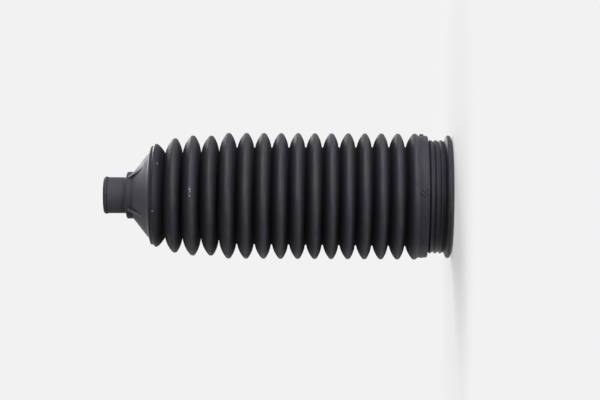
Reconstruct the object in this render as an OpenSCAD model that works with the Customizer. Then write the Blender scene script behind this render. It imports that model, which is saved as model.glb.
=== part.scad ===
// Steering rack boot: one moulded rubber bellows, standing on its large end.
// The axis is Z, the large end's face lies on the floor at z = 0, and the small end points up.

/* [Large end] */
// Bore that grips the rack housing
large_bore_d = 49.6; // [46:0.1:52]
// Lead-in chamfer at the mouth of the large bore
large_chamfer = 0.8; // [0.4:0.1:1.2]
// Diameter over the rounded end lip
lip_d = 61.3; // [60:0.1:64]
// Width of the end lip along the axis
lip_l = 4.2; // [3.6:0.1:6]
// Radius of the lip's rounded edge
lip_edge_r = 1.3; // [0.8:0.1:1.6]
// Wall under the clamp seat, in the floors between its ridges
seat_wall = 2.7; // [2.2:0.1:3.6]
// Width of the clamp seat along the axis
seat_l = 8; // [7.6:0.1:12]
// Number of grip ridges on the clamp seat
ridge_count = 3; // [2:1:4]
// Height of a grip ridge above the seat
ridge_h = 0.9; // [0.4:0.1:1.2]
// Length of the steep side of a grip ridge
ridge_steep_l = 0.9; // [0.6:0.1:1.2]
// Gap between the last ridge and the plain band
ridge_margin = 0.3; // [0.2:0.1:0.6]
// Diameter of the plain band between the clamp seat and the folds
land_d = 60.8; // [60:0.1:62]
// Width of the plain band along the axis
land_l = 4.5; // [4:0.1:7]
// Extra radius of the low crown on the plain band
land_crown_h = 0.3; // [0.2:0.1:0.6]
// Radius of the plain band's edge beside the clamp seat
land_edge_r = 0.7; // [0.5:0.1:1.5]
// Wall under the plain band
land_wall = 2.2; // [1.8:0.1:2.6]
// Mould taper of the inside under the plain band
land_draft = 0.3; // [0.1:0.1:0.5]
// Diameter of the index nib on the plain band
nib_d = 2.1; // [1:0.1:2.4]
// Height of the index nib above the band's crown
nib_h = 0.6; // [0.2:0.1:0.8]

/* [Folds] */
// Diameter over the crests of the full folds
crest_d = 63.1; // [61.6:0.1:66]
// Diameter in the first root, beside the large end
root_large_d = 49.5; // [48:0.1:51]
// Diameter in the last root of the full folds
root_d = 48.3; // [47:0.1:50]
// Number of full folds
full_folds = 11; // [6:1:14]
// Spacing of the folds at the large end
pitch_large = 8.2; // [8:0.1:10]
// Spacing of the folds at the small end
pitch_small = 9.2; // [8.4:0.1:10.5]
// How far each full crest leans from the middle of its fold towards the large end
crest_lean = 0.34; // [0.2:0.01:0.8]
// Wall of the folds
fold_wall = 1.3; // [1:0.1:1.6]
// Radius inside a crest
crest_inner_r = 0.2; // [0.1:0.1:0.6]
// Radius outside in a root
root_outer_r = 0.35; // [0.2:0.05:0.6]
// Radius of the bulging sides of a fold
flank_r = 14; // [10:1:24]
// Distance from the plain band to the first crest
first_crest_gap = 1.95; // [1.2:0.05:2.4]
// Distance from the first crest to the first root
first_root_gap = 4.65; // [4.4:0.05:6]

/* [Reducing folds] */
// Diameter over the crests of the two reduced folds
reduced_crest_d = 60.3; // [58:0.1:61.6]
// Number of reduced folds
reduced_folds = 2; // [1:1:3]
// How far each crest beyond the full folds leans towards the large end
reduced_lean = 0.55; // [0.2:0.01:0.8]
// Diameter over the crest of the shoulder fold
shoulder_crest_d = 57.5; // [55:0.1:59]
// Length of the shoulder fold
shoulder_pitch = 8.7; // [8.2:0.1:10]
// Diameter over the last crest, beside the cone
cone_crest_d = 51.7; // [51:0.1:54]
// Diameter in the last root
cone_root_d = 42.8; // [41:0.1:44]
// Distance from the last root to the last crest
last_crest_gap = 4.5; // [4:0.1:5.2]

/* [Cone] */
// Diameter of the narrow collar beside the last crest
collar_d = 49.5; // [48:0.1:50.4]
// Width of the collar along the axis
collar_l = 1.4; // [1:0.1:1.5]
// Distance from the last crest to the collar's outer edge
collar_gap = 2.5; // [2.4:0.1:3.4]
// Diameter of the cone where it leaves the collar
cone_large_d = 43.9; // [42:0.1:45]
// Axial distance from the collar's edge to the start of the cone
cone_step = 0.7; // [0.4:0.1:1]
// Length of the cone along the axis
cone_l = 8.1; // [6.5:0.1:10]
// Wall of the cone
cone_wall = 1.6; // [1.2:0.1:2]

/* [Small end] */
// Bore that grips the tie rod
small_bore_d = 13; // [12:0.1:14]
// Lead-in chamfer at the mouth of the small bore
small_chamfer = 0.5; // [0.3:0.1:0.8]
// Outside diameter of the cuff under the spring clip
cuff_d = 18.1; // [17:0.1:18.6]
// Length of the cuff between the shoulder ring and the bead
cuff_l = 9.4; // [8:0.1:14]
// Diameter over the bead at the cuff's end
bead_d = 19; // [18.7:0.1:21]
// Length of the bead along the axis
bead_l = 2; // [1.6:0.1:3]
// Diameter of the shoulder ring at the foot of the cuff
ring_d = 23.5; // [22:0.1:24.6]
// Length of the shoulder ring along the axis
ring_l = 3.3; // [3:0.1:5]
// Radius of the edge of the shoulder ring
ring_edge_r = 0.7; // [0.4:0.1:1.2]
// Radius of the fillet between the shoulder ring and the cuff
cuff_fillet_r = 0.7; // [0.4:0.1:1.2]

/* [Gussets] */
// Number of gussets between the shoulder ring and the cone
gusset_count = 4; // [2:1:6]
// Thickness of a gusset
gusset_w = 2; // [1.2:0.1:3]
// Turn of the first gusset round the axis
gusset_turn = 52; // [0:1:90]
// Distance that the gussets reach down the cone
gusset_reach = 5; // [3:0.1:6]
// Distance from the top of the shoulder ring to the top of a gusset
gusset_drop = 1.3; // [1:0.1:2]

/* [Hidden] */
$fn = 96;
tip_steps = 6;
flank_steps = 5;
root_steps = 5;
edge_steps = 4;

lip_r = lip_d / 2;
large_bore_r = large_bore_d / 2;
seat_r = large_bore_r + seat_wall;
land_r = land_d / 2;
small_bore_r = small_bore_d / 2;
cuff_r = cuff_d / 2;
ring_r = ring_d / 2;
collar_r = collar_d / 2;
cone_large_r = cone_large_d / 2;
tip_r = crest_inner_r + fold_wall;

// Heights of the bands, from the large end up
seat_z = lip_l;
land_z = seat_z + seat_l;
land_top_z = land_z + land_l;
first_crest_z = land_top_z + first_crest_gap;
first_root_z = first_crest_z + first_root_gap;

// The pitch grows with the square of the fold's place, from pitch_large to pitch_small
body_folds = full_folds + reduced_folds;
function pitch(i) = pitch_large + (pitch_small - pitch_large) * pow(i / (body_folds - 1), 2);
function root_z(i) = i == 0 ? first_root_z
    : i <= body_folds ? root_z(i - 1) + pitch(i - 1)
    : root_z(i - 1) + shoulder_pitch;
last_root = body_folds + 1;
last_crest = last_root + 1;

// The roots deepen slowly along the full folds, then quickly to the last root
function root_blend(i) = pow(1 - max(0, i - full_folds + 1) / (last_root - full_folds + 1), 4);
function root_extra(i) = (root_large_d - root_d) * max(0, 1 - i / (full_folds - 1));
function root_r(i) = (cone_root_d + (root_d - cone_root_d) * root_blend(i) + root_extra(i)) / 2;

function crest_r(k) = k <= full_folds ? crest_d / 2
    : k <= body_folds ? reduced_crest_d / 2
    : k == last_root ? shoulder_crest_d / 2
    : cone_crest_d / 2;
function crest_z(k) = k == 0 ? first_crest_z
    : k == last_crest ? root_z(last_root) + last_crest_gap
    : (root_z(k - 1) + root_z(k)) / 2 - (k <= full_folds ? crest_lean : reduced_lean);

// Heights above the last crest
collar_z = crest_z(last_crest) + collar_gap;
cone_z = collar_z + cone_step;
ring_z = cone_z + cone_l;
cuff_z = ring_z + ring_l;
bead_z = cuff_z + cuff_l;
top_z = bead_z + bead_l;

// Points on an arc, as radius and height, from one angle to another
function arc(centre, r, from, to, steps) =
    [for (i = [0:steps]) let (a = from + (to - from) * i / steps) centre + r * [cos(a), sin(a)]];

// Centres of the rounded tip of a crest and of the rounded bottom of a root
function tip_centre(k) = [crest_r(k) - tip_r, crest_z(k)];
function root_centre(i) = [root_r(i) + root_outer_r, root_z(i)];

// Centre of the arc that bulges between a root and a tip and touches both circles.
// The side is 1 for the flank below a crest, and -1 for the flank above it.
function flank_centre(root, tip, side) =
    let (
        d = norm(tip - root),
        u = (tip - root) / d,
        from_root = flank_r + root_outer_r,
        from_tip = flank_r - tip_r,
        along = (from_root * from_root - from_tip * from_tip + d * d) / (2 * d)
    ) root + along * u + side * sqrt(from_root * from_root - along * along) * [-u[1], u[0]];

function angle_of(v) = atan2(v[1], v[0]);
function upper_flank(k) = flank_centre(root_centre(k), tip_centre(k), -1);
function lower_flank(k) = flank_centre(root_centre(k - 1), tip_centre(k), 1);
function upper_tip_angle(k) = angle_of(tip_centre(k) - upper_flank(k));
function lower_tip_angle(k) = angle_of(tip_centre(k) - lower_flank(k));
function upper_root_angle(k) = angle_of(root_centre(k) - upper_flank(k));
function lower_root_angle(k) = angle_of(root_centre(k - 1) - lower_flank(k));

// One surface of a fold, from its lower root to its upper one. The depth is how far the
// surface lies inside the outer one: 0 outside, and the wall inside.
function tip_arc(k, from, to, depth) = arc(tip_centre(k), tip_r - depth, from, to, tip_steps);
function rise(k, depth) = arc(lower_flank(k), flank_r - depth,
    lower_root_angle(k), lower_tip_angle(k), flank_steps);
function fall(k, depth) = arc(upper_flank(k), flank_r - depth,
    upper_tip_angle(k), upper_root_angle(k), flank_steps);
function root_arc(i, depth) = arc(root_centre(i), root_outer_r + depth,
    180 + upper_root_angle(i), 180 + lower_root_angle(i + 1), root_steps);
function join(lists) = [for (l = lists) for (p = l) p];

// All folds between the tip of the first crest and the rise to the last
function fold_row(depth) = join([
    for (k = [0:last_root]) join([
        fall(k, depth),
        root_arc(k, depth),
        rise(k + 1, depth),
        k < last_root ? tip_arc(k + 1, lower_tip_angle(k + 1), upper_tip_angle(k + 1), depth) : []
    ])
]);

// Sawtooth ridges of the clamp seat, steep towards the folds and gentle towards the lip
ridge_pitch = (seat_l - ridge_margin) / ridge_count;
ridge_flat = 0.1;
function ridge(i) = let (foot_z = seat_z + (i + 1) * ridge_pitch, peak_z = foot_z - ridge_steep_l) [
    [seat_r + ridge_h, peak_z - ridge_flat],
    [seat_r + ridge_h, peak_z + ridge_flat],
    [seat_r, foot_z]
];
function ridges() = join([for (i = [0:ridge_count - 1]) ridge(i)]);

// Outside of the large end, from the floor to the tip of the first crest. The first and the
// last crest have one free side each, so their tips turn by an angle of their own.
first_tip_sweep = 30;
last_tip_sweep = 20;
inner_tip_sweep = 50;
lip_face_r = seat_r + 0.4;
lip_mid_z = lip_l * 0.5;
lip_sweep = 50;
lip_foot = [0.5, -0.2];
crown_drop = 1.4;
crown_z = land_top_z - crown_drop;
function large_end() = join([
    [[large_bore_r + large_chamfer, 0], [lip_face_r, 0]],
    arc([lip_r - lip_edge_r, lip_mid_z], lip_edge_r, -lip_sweep, lip_sweep, tip_steps),
    [[seat_r, seat_z] + lip_foot, [seat_r, seat_z]],
    ridges(),
    [[seat_r, land_z]],
    arc([land_r - land_edge_r, land_z + land_edge_r], land_edge_r, -90, 0, edge_steps),
    [[land_r + land_crown_h, crown_z], [land_r, land_top_z]],
    tip_arc(0, -first_tip_sweep, upper_tip_angle(0), 0)
]);

// Outside of the small end, from the tip of the last crest to the end face
collar_edge = 0.3;
bead_edge_r = 0.5;
bead_peak_z = bead_z + 0.9;
bead_face_r = bead_d / 2 - 0.7;
function small_end() = join([
    tip_arc(last_crest, lower_tip_angle(last_crest), last_tip_sweep, 0),
    [
        [collar_r, collar_z - collar_l],
        [collar_r, collar_z - collar_edge],
        [collar_r - collar_edge, collar_z],
        [cone_large_r, cone_z],
        [ring_r, ring_z]
    ],
    arc([ring_r - ring_edge_r, cuff_z - ring_edge_r], ring_edge_r, 0, 90, edge_steps),
    arc([cuff_r + cuff_fillet_r, cuff_z + cuff_fillet_r], cuff_fillet_r, 270, 180, edge_steps),
    [[cuff_r, bead_z]],
    arc([bead_d / 2 - bead_edge_r, bead_peak_z], bead_edge_r, -30, 45, edge_steps),
    [[bead_face_r, top_z], [small_bore_r + small_chamfer, top_z]]
]);

// Inside, from the mouth of the small bore down to the last crest
cone_run = [ring_r - cone_large_r, cone_l];
cone_in = cone_wall * [-cone_run[1], cone_run[0]] / norm(cone_run);
cone_start = [cone_large_r, cone_z] + cone_in;
bore_foot_z = cone_start[1] + (cone_start[0] - small_bore_r) * cone_l / (cone_large_r - ring_r);
function small_inside() = join([
    [[small_bore_r, top_z - small_chamfer], [small_bore_r, bore_foot_z], cone_start],
    tip_arc(last_crest, inner_tip_sweep, lower_tip_angle(last_crest), fold_wall)
]);

// Inside, from the first crest down to the mouth of the large bore
bore_top_z = land_z + 0.8;
land_inside_top_z = land_top_z - 0.4;
function large_inside() = join([
    tip_arc(0, upper_tip_angle(0), -inner_tip_sweep, fold_wall),
    [
        [land_r - land_wall, land_inside_top_z],
        [land_r - land_wall - land_draft, bore_top_z + land_wall],
        [large_bore_r, bore_top_z],
        [large_bore_r, large_chamfer]
    ]
]);

function backwards(list) = [for (i = [len(list) - 1:-1:0]) list[i]];

module wall() {
    rotate_extrude()
        polygon(join([
            large_end(),
            fold_row(0),
            small_end(),
            small_inside(),
            backwards(fold_row(fold_wall)),
            large_inside()
        ]));
}

// The round nib on the plain band, which marks the top of the boot
nib_root = 1;
module index_nib() {
    rotate([0, 90, 0])
        translate([-crown_z, 0, land_r - nib_root])
        cylinder(d = nib_d, h = nib_root + land_crown_h + nib_h);
}

// One gusset, a three-cornered web that stands on the cone and leans on the shoulder ring
gusset_root = 1;
module gusset() {
    top = cuff_z - gusset_drop;
    foot_z = ring_z - gusset_reach;
    foot_r = ring_r + (cone_large_r - ring_r) * gusset_reach / cone_l;
    rotate([90, 0, 0])
        translate([0, 0, -gusset_w / 2])
        linear_extrude(gusset_w)
        polygon([
            [ring_r - gusset_root, top],
            [ring_r, top],
            [foot_r, foot_z],
            [foot_r + cone_in[0] / 2, foot_z + cone_in[1] / 2],
            [ring_r - gusset_root + cone_in[0] / 2, ring_z + cone_in[1] / 2]
        ]);
}

module rack_boot() {
    color([0.1, 0.1, 0.11]) {
        wall();
        index_nib();
        for (i = [0:gusset_count - 1])
            rotate([0, 0, gusset_turn + i * 360 / gusset_count]) gusset();
    }
}

rack_boot();
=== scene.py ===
"""Looks of a steering rack boot: a moulded rubber bellows that stands on its large end.

Lengths of the boot are in millimetres until a mesh is made. Meshes and the studio are in metres. The
boot's axis is Z, with the large end's face on the floor at z = 0. The camera looks along +Y and is
turned on its side, so that the small end points to the left of the picture.
"""
import logging
import math
from dataclasses import dataclass
from enum import Enum
from typing import Iterable, Sequence

import bpy
from mathutils import Matrix, Vector, noise


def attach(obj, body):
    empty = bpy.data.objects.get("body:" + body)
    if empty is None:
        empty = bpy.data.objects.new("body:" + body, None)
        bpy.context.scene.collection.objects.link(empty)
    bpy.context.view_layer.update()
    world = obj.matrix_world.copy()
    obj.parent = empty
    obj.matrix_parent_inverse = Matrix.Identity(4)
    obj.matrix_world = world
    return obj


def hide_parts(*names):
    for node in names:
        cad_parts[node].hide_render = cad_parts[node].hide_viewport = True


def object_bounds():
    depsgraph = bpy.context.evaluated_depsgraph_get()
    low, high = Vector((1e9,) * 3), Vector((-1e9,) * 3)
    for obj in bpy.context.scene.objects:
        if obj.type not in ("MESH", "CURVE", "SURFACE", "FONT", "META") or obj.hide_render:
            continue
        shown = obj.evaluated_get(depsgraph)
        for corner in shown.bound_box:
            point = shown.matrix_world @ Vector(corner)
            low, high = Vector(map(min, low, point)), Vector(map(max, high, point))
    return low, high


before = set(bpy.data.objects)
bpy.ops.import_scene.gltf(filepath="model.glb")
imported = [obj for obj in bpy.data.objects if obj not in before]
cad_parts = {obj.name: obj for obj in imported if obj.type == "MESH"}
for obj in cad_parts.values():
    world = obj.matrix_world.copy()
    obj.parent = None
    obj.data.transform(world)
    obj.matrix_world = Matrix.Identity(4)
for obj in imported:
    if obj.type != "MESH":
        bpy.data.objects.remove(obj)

CAD_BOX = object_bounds()
MM = 0.001
BODY = "root"
NODE = "rack_boot"
LOG = logging.getLogger("rack_boot")

# How proud the rubber stands, for the finish: 0 in a root, and 1 on a crest and on the bands
PRIDE = "pride"
BAND_PRIDE = 1.0
INSIDE_PRIDE = -1.0

# Largest share of a line that the rounding at one of its ends may take
ROUNDING_SHARE = 0.45

Point = tuple[float, float]
Corner = tuple[float, float, float]
Span = tuple[float, float]
Colour = tuple[float, float, float, float]


class Side(Enum):
    """The two flanks of a fold, as the sign that places the centre of their arc."""

    BELOW = 1
    ABOVE = -1


class Skin(Enum):
    """The two surfaces of the wall."""

    OUTSIDE = 0
    INSIDE = 1


def arc(centre: Point, radius: float, start: float, end: float, steps: int) -> list[Point]:
    """Points on an arc of the section.

    Args:
        centre: Radius and height of the arc's centre.
        radius: Radius of the arc.
        start: First angle in degrees, from the outward direction towards +Z.
        end: Last angle in degrees.
        steps: Number of chords.

    Returns:
        The points, both ends among them.
    """
    turns = [math.radians(start + (end - start) * i / steps) for i in range(steps + 1)]
    return [(centre[0] + radius * math.cos(a), centre[1] + radius * math.sin(a)) for a in turns]


def soften(corners: Iterable[Corner], steps: int = 3) -> list[Point]:
    """Rounds the corners of an open line.

    Args:
        corners: Radius, height and rounding of each corner; the two ends stay as they are.
        steps: Number of chords in each rounding.

    Returns:
        The points of the rounded line.
    """
    given = list(corners)
    made: list[Point] = [given[0][:2]]
    for before, corner, after in zip(given, given[1:], given[2:]):
        here = Vector(corner[:2])
        back = Vector(before[:2]) - here
        ahead = Vector(after[:2]) - here
        cut = min(corner[2], back.length * ROUNDING_SHARE, ahead.length * ROUNDING_SHARE)
        if cut <= 0:
            made.append(corner[:2])
            continue
        start = here + back.normalized() * cut
        end = here + ahead.normalized() * cut
        for i in range(steps + 1):
            t = i / steps
            point = start * (1 - t) ** 2 + here * 2 * t * (1 - t) + end * t**2
            made.append((point.x, point.y))
    made.append(given[-1][:2])
    return made


def spread(line: list[Point], longest: float) -> list[Point]:
    """Adds points to a line so that no step is longer than a given length.

    Args:
        line: The points of the line.
        longest: The longest step allowed.

    Returns:
        The line with points added on its long steps.
    """
    made = [line[0]]
    for start, end in zip(line, line[1:]):
        parts = max(1, math.ceil(math.dist(start, end) / longest))
        for i in range(1, parts + 1):
            t = i / parts
            made.append((start[0] + (end[0] - start[0]) * t, start[1] + (end[1] - start[1]) * t))
    return made


def smoothstep(low: float, high: float, value: float) -> float:
    """Returns 0 below low, 1 above high and a smooth rise between them; low may lie above high."""
    t = min(1.0, max(0.0, (value - low) / (high - low)))
    return t * t * (3 - 2 * t)


def cloud_at(place: Vector) -> float:
    """Smooth noise from 0 to 1 at one point."""
    return 0.5 + 0.5 * noise.noise(place)


def closed_faces(rows: int, columns: int) -> list[tuple[int, int, int, int]]:
    """Faces of a skin whose rows and columns both close on themselves.

    Args:
        rows: Number of rows.
        columns: Number of corners in each row.

    Returns:
        The corner numbers of each face.
    """
    faces = []
    for row in range(rows):
        low = row * columns
        high = (row + 1) % rows * columns
        for column in range(columns):
            after = (column + 1) % columns
            faces.append((low + column, low + after, high + after, high + column))
    return faces


def place_object(name: str, mesh: bpy.types.Mesh) -> bpy.types.Object:
    """Puts a mesh into the scene at the origin.

    Args:
        name: Name of the object.
        mesh: Its mesh.

    Returns:
        The object.
    """
    made = bpy.data.objects.new(name, mesh)
    bpy.context.scene.collection.objects.link(made)
    return made


def rubber_piece(
    name: str, places: Sequence[Sequence[float]], faces: Sequence[Sequence[int]], pride: Sequence[float]
) -> bpy.types.Object:
    """Makes one smooth piece of rubber.

    Args:
        name: Name of the piece.
        places: Its corners, in metres.
        faces: The corner numbers of each face.
        pride: How proud each corner stands.

    Returns:
        The piece, in the scene.
    """
    mesh = bpy.data.meshes.new(name)
    mesh.from_pydata(places, [], faces)
    mesh.attributes.new(PRIDE, "FLOAT", "POINT").data.foreach_set("value", pride)
    mesh.shade_smooth()
    mesh.validate()
    return place_object(name, mesh)


@dataclass(frozen=True)
class LargeEndSizes:
    """The clamped end: lip, clamp seat with its ridges, and plain band."""

    bore_d: float = 49.6
    chamfer: float = 0.8
    lip_d: float = 61.3
    lip_l: float = 4.2
    lip_edge_r: float = 1.3
    lip_sweep: float = 50
    lip_foot: Point = (0.5, -0.2)
    lip_face_rise: float = 0.4
    lip_face_r: float = 0.25
    seat_d: float = 55
    seat_l: float = 8
    seat_corner_r: float = 0.2
    ridge_count: int = 3
    ridge_h: float = 0.9
    ridge_steep_l: float = 0.9
    ridge_flat: float = 0.1
    ridge_margin: float = 0.3
    ridge_edge_r: float = 0.16
    land_d: float = 60.8
    land_l: float = 4.5
    land_crown_h: float = 0.3
    land_crown_r: float = 1.0
    crown_drop: float = 1.4
    land_edge_r: float = 0.7
    land_top_r: float = 0.2
    land_wall: float = 2.2
    land_draft: float = 0.3
    land_inside_drop: float = 0.4
    land_inside_r: float = 0.3
    bore_top_rise: float = 0.8
    bore_top_r: float = 0.4

    @property
    def land_z(self) -> float:
        """Height at which the plain band starts."""
        return self.lip_l + self.seat_l

    @property
    def top_z(self) -> float:
        """Height at which the plain band ends."""
        return self.land_z + self.land_l

    @property
    def crown_z(self) -> float:
        """Height of the plain band's crown."""
        return self.top_z - self.crown_drop


@dataclass(frozen=True)
class FoldSizes:
    """The full folds, the reduced folds, the shoulder fold and the last crest."""

    crest_d: float = 63.1
    root_large_d: float = 49.5
    root_d: float = 48.3
    full_folds: int = 11
    pitch_large: float = 8.2
    pitch_small: float = 9.2
    crest_lean: float = 0.34
    reduced_lean: float = 0.55
    wall: float = 1.3
    crest_inner_r: float = 0.2
    root_outer_r: float = 0.35
    flank_r: float = 14
    first_crest_gap: float = 1.95
    first_root_gap: float = 4.65
    reduced_crest_d: float = 60.3
    reduced_folds: int = 2
    shoulder_crest_d: float = 57.5
    shoulder_pitch: float = 8.7
    cone_crest_d: float = 51.7
    cone_root_d: float = 42.8
    last_crest_gap: float = 4.5
    first_tip_sweep: float = 30
    last_tip_sweep: float = 20
    inner_tip_sweep: float = 50

    @property
    def tip_r(self) -> float:
        """Outer radius of a crest's rounded tip."""
        return self.crest_inner_r + self.wall


@dataclass(frozen=True)
class SmallEndSizes:
    """The collar, cone, shoulder ring, cuff and bead."""

    collar_d: float = 49.5
    collar_gap: float = 2.5
    collar_l: float = 1.4
    collar_foot_r: float = 0.2
    collar_edge: float = 0.3
    collar_edge_r: float = 0.15
    cone_large_d: float = 43.9
    cone_step: float = 0.7
    cone_foot_r: float = 0.3
    cone_l: float = 8.1
    cone_wall: float = 1.6
    inside_corner_r: float = 0.4
    bore_d: float = 13
    chamfer: float = 0.5
    cuff_d: float = 18.1
    cuff_l: float = 9.4
    cuff_fillet_r: float = 0.7
    bead_d: float = 19
    bead_l: float = 2
    bead_foot_r: float = 0.3
    bead_edge_r: float = 0.5
    bead_sweep: Span = (-30, 45)
    bead_peak_rise: float = 0.9
    bead_face_drop: float = 0.7
    ring_d: float = 23.5
    ring_l: float = 3.3
    ring_edge_r: float = 0.7
    corner_r: float = 0.22


@dataclass(frozen=True)
class GussetSizes:
    """The webs between the shoulder ring and the cone, and how the mesh's columns gather at them."""

    count: int = 4
    width: float = 2
    turn: float = 52
    reach: float = 5
    drop: float = 1.3
    edge: float = 0.2
    fillet: float = 0.35
    back_share: float = 0.45
    side_inset: float = 0.05
    side_outset: float = 0.08
    gather_low: Span = (147.5, 150.5)
    gather_high: Span = (166, 163)

    @property
    def column_places(self) -> tuple[float, ...]:
        """Distances from a gusset's middle at which the nearest columns stand."""
        half = self.width / 2
        sides = (half - self.side_inset, half + self.side_outset)
        return (0, half * self.back_share, half - self.edge, *sides, half + self.fillet)


@dataclass(frozen=True)
class MouldingFlaws:
    """How far the soft moulding wanders from its ideal form; every change of radius goes inwards."""

    wander_z: float = 0.09
    wander_length: float = 15.0
    wander_round: float = 1.4
    out_of_round: float = 0.1
    oval_shift: tuple[float, float, float] = (7.3, 1.9, 4.2)
    ripple: float = 0.035
    ripple_length: float = 5.0
    large_end_fade: Span = (6, 24)
    small_end_fade: float = 14
    trim: float = 0.16
    trim_length: float = 1.1
    trim_rise: float = 0.2
    trim_depth: float = 0.6


@dataclass(frozen=True)
class MeshSteps:
    """How finely the skin is cut: columns, chords of each arc, and the longest step between them."""

    columns: int = 160
    outer_folds: tuple[int, int, int] = (6, 4, 4)
    inner_folds: tuple[int, int, int] = (2, 2, 3)
    lip: int = 7
    edge: int = 5
    bead: int = 4
    end_tip: int = 6
    inner_tip: int = 2
    outer_longest: float = 1.1
    inner_longest: float = 3.0


class Folds:
    """Works out the arcs of the bellows from its sizes."""

    def __init__(self, sizes: FoldSizes, start_z: float) -> None:
        """Places the folds above the plain band.

        Args:
            sizes: The sizes of the folds.
            start_z: Height at which the plain band ends.
        """
        self.sizes = sizes
        self.body_folds = sizes.full_folds + sizes.reduced_folds
        self.last_root = self.body_folds + 1
        self.last_crest = self.last_root + 1
        self.first_crest_z = start_z + sizes.first_crest_gap
        self.root_heights = self._root_heights()

    def _root_heights(self) -> list[float]:
        """Heights of the roots; the pitch grows with the square of the fold's place."""
        sizes = self.sizes
        heights = [self.first_crest_z + sizes.first_root_gap]
        for i in range(self.body_folds):
            share = (i / (self.body_folds - 1)) ** 2
            heights.append(heights[-1] + sizes.pitch_large + (sizes.pitch_small - sizes.pitch_large) * share)
        heights.append(heights[-1] + sizes.shoulder_pitch)
        return heights

    def root_r(self, i: int) -> float:
        """Outer radius of a root, which shrinks slowly along the full folds and quickly after them.

        Args:
            i: Number of the root.

        Returns:
            The radius.
        """
        sizes = self.sizes
        steps = self.last_root - sizes.full_folds + 1
        blend = (1 - max(0, i - sizes.full_folds + 1) / steps) ** 4
        extra = (sizes.root_large_d - sizes.root_d) * max(0, 1 - i / (sizes.full_folds - 1))
        return (sizes.cone_root_d + (sizes.root_d - sizes.cone_root_d) * blend + extra) / 2

    def crest_r(self, k: int) -> float:
        """Outer radius of a crest.

        Args:
            k: Number of the crest.

        Returns:
            The radius.
        """
        sizes = self.sizes
        if k <= sizes.full_folds:
            return sizes.crest_d / 2
        if k <= self.body_folds:
            return sizes.reduced_crest_d / 2
        return (sizes.shoulder_crest_d if k == self.last_root else sizes.cone_crest_d) / 2

    def crest_z(self, k: int) -> float:
        """Height of a crest.

        Args:
            k: Number of the crest.

        Returns:
            The height.
        """
        if k == 0:
            return self.first_crest_z
        if k == self.last_crest:
            return self.root_heights[-1] + self.sizes.last_crest_gap
        lean = self.sizes.crest_lean if k <= self.sizes.full_folds else self.sizes.reduced_lean
        return (self.root_heights[k - 1] + self.root_heights[k]) / 2 - lean

    def tip_centre(self, k: int) -> Vector:
        """Centre of a crest's rounded tip."""
        return Vector((self.crest_r(k) - self.sizes.tip_r, self.crest_z(k)))

    def root_centre(self, i: int) -> Vector:
        """Centre of a root's rounding."""
        return Vector((self.root_r(i) + self.sizes.root_outer_r, self.root_heights[i]))

    def root_beside(self, k: int, side: Side) -> Vector:
        """Centre of the root below a crest or of the one above it."""
        return self.root_centre(k - 1 if side is Side.BELOW else k)

    def flank_centre(self, k: int, side: Side) -> Vector:
        """Centre of the arc that bulges between a crest and the root beside it.

        Args:
            k: Number of the crest.
            side: The flank below the crest or the one above it.

        Returns:
            The centre of an arc that touches the tip's circle and the root's circle.
        """
        tip = self.tip_centre(k)
        root = self.root_beside(k, side)
        reach = (tip - root).length
        along_line = (tip - root) / reach
        from_root = self.sizes.flank_r + self.sizes.root_outer_r
        from_tip = self.sizes.flank_r - self.sizes.tip_r
        along = (from_root**2 - from_tip**2 + reach**2) / (2 * reach)
        across = math.sqrt(from_root**2 - along**2)
        return root + along_line * along + side.value * across * Vector((-along_line.y, along_line.x))

    def tip_angle(self, k: int, side: Side) -> float:
        """Angle at which a crest's tip meets a flank, in degrees."""
        out = self.tip_centre(k) - self.flank_centre(k, side)
        return math.degrees(math.atan2(out.y, out.x))

    def root_angle(self, k: int, side: Side) -> float:
        """Angle at which a crest's flank meets its root, in degrees."""
        out = self.root_beside(k, side) - self.flank_centre(k, side)
        return math.degrees(math.atan2(out.y, out.x))

    def tip(self, k: int, start: float, end: float, depth: float, steps: int) -> list[Point]:
        """The rounded tip of a crest, at a depth below the outer surface."""
        return arc(self.tip_centre(k).to_tuple(), self.sizes.tip_r - depth, start, end, steps)

    def full_tip(self, k: int, depth: float, steps: int) -> list[Point]:
        """The tip of a crest that has a flank on both sides."""
        return self.tip(k, self.tip_angle(k, Side.BELOW), self.tip_angle(k, Side.ABOVE), depth, steps)

    def flank(self, k: int, side: Side, depth: float, steps: int) -> list[Point]:
        """One flank without its ends.

        Args:
            k: Number of the crest.
            side: The flank below the crest or the one above it.
            depth: How far the surface lies inside the outer one.
            steps: Number of chords.

        Returns:
            The points, run from the large end to the small end.
        """
        ends = (self.root_angle(k, side), self.tip_angle(k, side))
        if side is Side.ABOVE:
            ends = ends[::-1]
        centre = self.flank_centre(k, side).to_tuple()
        return arc(centre, self.sizes.flank_r - depth, *ends, steps)[1:-1]

    def root(self, i: int, depth: float, steps: int) -> list[Point]:
        """The rounding of a root.

        Args:
            i: Number of the root.
            depth: How far the surface lies inside the outer one.
            steps: Number of chords.

        Returns:
            The points, run from the large end to the small end.
        """
        start = 180 + self.root_angle(i, Side.ABOVE)
        end = 180 + self.root_angle(i + 1, Side.BELOW)
        return arc(self.root_centre(i).to_tuple(), self.sizes.root_outer_r + depth, start, end, steps)

    def row(self, depth: float, steps: tuple[int, int, int]) -> list[Point]:
        """All folds, from above the tip of the first crest to below the tip of the last.

        Args:
            depth: How far the surface lies inside the outer one.
            steps: Number of chords in a tip, a flank and a root.

        Returns:
            The points, run from the large end to the small end.
        """
        tip_steps, flank_steps, root_steps = steps
        line: list[Point] = []
        for k in range(self.last_root + 1):
            line += self.flank(k, Side.ABOVE, depth, flank_steps)
            line += self.root(k, depth, root_steps)
            line += self.flank(k + 1, Side.BELOW, depth, flank_steps)
            if k < self.last_root:
                line += self.full_tip(k + 1, depth, tip_steps)
        return line

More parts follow.
